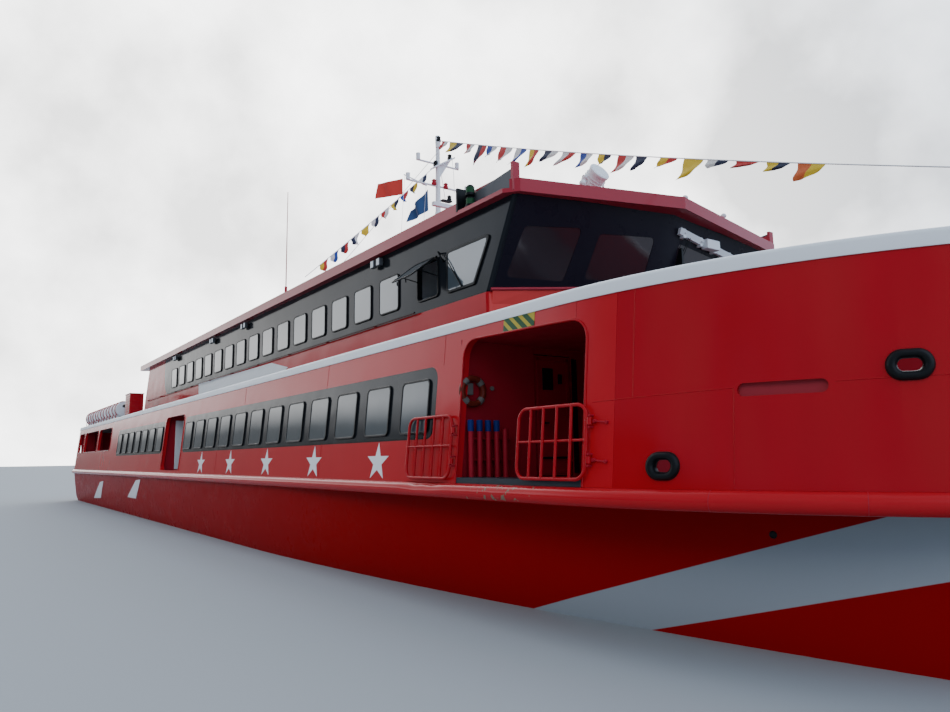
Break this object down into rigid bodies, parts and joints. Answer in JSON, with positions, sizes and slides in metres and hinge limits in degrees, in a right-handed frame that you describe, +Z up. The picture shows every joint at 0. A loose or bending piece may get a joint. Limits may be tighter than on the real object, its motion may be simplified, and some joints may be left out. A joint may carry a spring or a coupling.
{
  "type": "passenger ferry, twin-hulled, two decks, scale model 1:2",
  "caption": "Twin-hulled passenger ferry with an enclosed saloon deck, upper saloon, raked wheelhouse, side doors with gates, and a high rounded bow; 1:2 scale model",
  "frame": {"origin": "on the waterline, amidships, on the centreline", "axes": "+X to the bow, +Y to port, +Z up"},
  "size_m": [27.51, 6.5366, 7.575],
  "materials": {
    "hull_red": "satin",
    "red_paint": "gloss",
    "dark_red_paint": "satin",
    "white_paint": "gloss",
    "deck_grey": "matt non-slip",
    "black_paint": "gloss",
    "dark_glass": "tinted",
    "machinery_grey": "painted",
    "bronze": "machined",
    "console_plastic": "matt",
    "raft_plastic": "moulded"
  },
  "bodies": {
    "ferry": {"hull_starboard": "hull_red", "hull_port": "hull_red", "engine_starboard": "machinery_grey", "engine_port": "machinery_grey", "shaft_bracket_starboard": "machinery_grey", "shaft_bracket_port": "machinery_grey", "windlass": "machinery_grey", "bridge_deck": "deck_grey", "upper_deck": "deck_grey", "rub_rail": "red_paint", "bow_bulwark": "red_paint", "side_fore_starboard": "red_paint", "side_fore_port": "red_paint", "side_aft_starboard": "red_paint", "side_aft_port": "red_paint", "aft_bulkhead": "red_paint", "house_side_starboard": "red_paint", "house_side_port": "red_paint", "house_aft_wall": "red_paint", "house_front_wall": "red_paint", "roof": "red_paint", "vent_casing_starboard": "red_paint", "vent_casing_port": "red_paint", "sheer_band": "white_paint", "wheelhouse_bulkhead": "white_paint", "mast": "white_paint", "searchlight": "white_paint", "fore_bulkhead": "dark_red_paint", "vestibule_starboard": "dark_red_paint", "vestibule_port": "dark_red_paint", "lobby_starboard": "dark_red_paint", "lobby_port": "dark_red_paint", "wheelhouse_front": "black_paint", "bridge_console": "console_plastic", "liferafts_starboard": "raft_plastic", "liferafts_port": "raft_plastic", "glazing_fore_starboard": "dark_glass", "glazing_fore_port": "dark_glass", "glazing_aft_starboard": "dark_glass", "glazing_aft_port": "dark_glass", "glazing_upper_starboard": "dark_glass", "glazing_upper_port": "dark_glass", "glazing_quarter_starboard": "dark_glass", "glazing_quarter_port": "dark_glass", "glazing_wheelhouse": "dark_glass"},
    "gate_fore_starboard": {"gate_fore_starboard": "red_paint"},
    "gate_aft_starboard": {"gate_aft_starboard": "red_paint"},
    "saloon_door_starboard": {"saloon_door_starboard": "dark_red_paint"},
    "aft_door_starboard": {"aft_door_starboard": "white_paint"},
    "propeller_starboard": {"propeller_starboard": "bronze"},
    "rudder_starboard": {"rudder_starboard": "hull_red"},
    "gate_fore_port": {"gate_fore_port": "red_paint"},
    "gate_aft_port": {"gate_aft_port": "red_paint"},
    "saloon_door_port": {"saloon_door_port": "dark_red_paint"},
    "aft_door_port": {"aft_door_port": "white_paint"},
    "propeller_port": {"propeller_port": "bronze"},
    "rudder_port": {"rudder_port": "hull_red"},
    "radar_scanner": {"radar_scanner": "white_paint"}
  },
  "joints": [
    {"name": "gate_fore_starboard_hinge", "type": "hinge", "parent": "ferry", "child": "gate_fore_starboard", "pos_m": [10.48, -3.20717, 1.3], "axis": [0, 0.0924, 0.9957], "range_deg": [0, 180]},
    {"name": "gate_aft_starboard_hinge", "type": "hinge", "parent": "ferry", "child": "gate_aft_starboard", "pos_m": [8.92, -3.20717, 1.3], "axis": [0, 0.0924, 0.9957], "range_deg": [0, 180]},
    {"name": "saloon_door_starboard_hinge", "type": "hinge", "parent": "ferry", "child": "saloon_door_starboard", "pos_m": [8.8925, -1.865, 1.5725], "axis": [0, 0, 1], "range_deg": [0, 90]},
    {"name": "aft_door_starboard_hinge", "type": "hinge", "parent": "ferry", "child": "aft_door_starboard", "pos_m": [-7.4425, -0.45, 1.5275], "axis": [0, 0, 1], "range_deg": [0, 90]},
    {"name": "propeller_starboard_spin", "type": "hinge", "parent": "ferry", "child": "propeller_starboard", "pos_m": [-12.275, -2.225, -0.59], "axis": [0.9978, 0, 0.066], "continuous": true},
    {"name": "rudder_starboard_turn", "type": "hinge", "parent": "ferry", "child": "rudder_starboard", "pos_m": [-13.05, -2.225, -0.3], "axis": [0, 0, 1], "range_deg": [-35, 35]},
    {"name": "gate_fore_port_hinge", "type": "hinge", "parent": "ferry", "child": "gate_fore_port", "pos_m": [10.48, 3.20717, 1.3], "axis": [0, 0.0924, -0.9957], "range_deg": [0, 180]},
    {"name": "gate_aft_port_hinge", "type": "hinge", "parent": "ferry", "child": "gate_aft_port", "pos_m": [8.92, 3.20717, 1.3], "axis": [0, 0.0924, -0.9957], "range_deg": [0, 180]},
    {"name": "saloon_door_port_hinge", "type": "hinge", "parent": "ferry", "child": "saloon_door_port", "pos_m": [8.8925, 1.865, 1.5725], "axis": [0, 0, -1], "range_deg": [0, 90]},
    {"name": "aft_door_port_hinge", "type": "hinge", "parent": "ferry", "child": "aft_door_port", "pos_m": [-7.4425, 0.45, 1.5275], "axis": [0, 0, -1], "range_deg": [0, 90]},
    {"name": "propeller_port_spin", "type": "hinge", "parent": "ferry", "child": "propeller_port", "pos_m": [-12.275, 2.225, -0.59], "axis": [0.9978, 0, 0.066], "continuous": true},
    {"name": "rudder_port_turn", "type": "hinge", "parent": "ferry", "child": "rudder_port", "pos_m": [-13.05, 2.225, -0.3], "axis": [0, 0, 1], "range_deg": [-35, 35]},
    {"name": "radar_spin", "type": "hinge", "parent": "ferry", "child": "radar_scanner", "pos_m": [4.225, 0, 5.225], "axis": [0, 0, 1], "continuous": true}
  ]
}
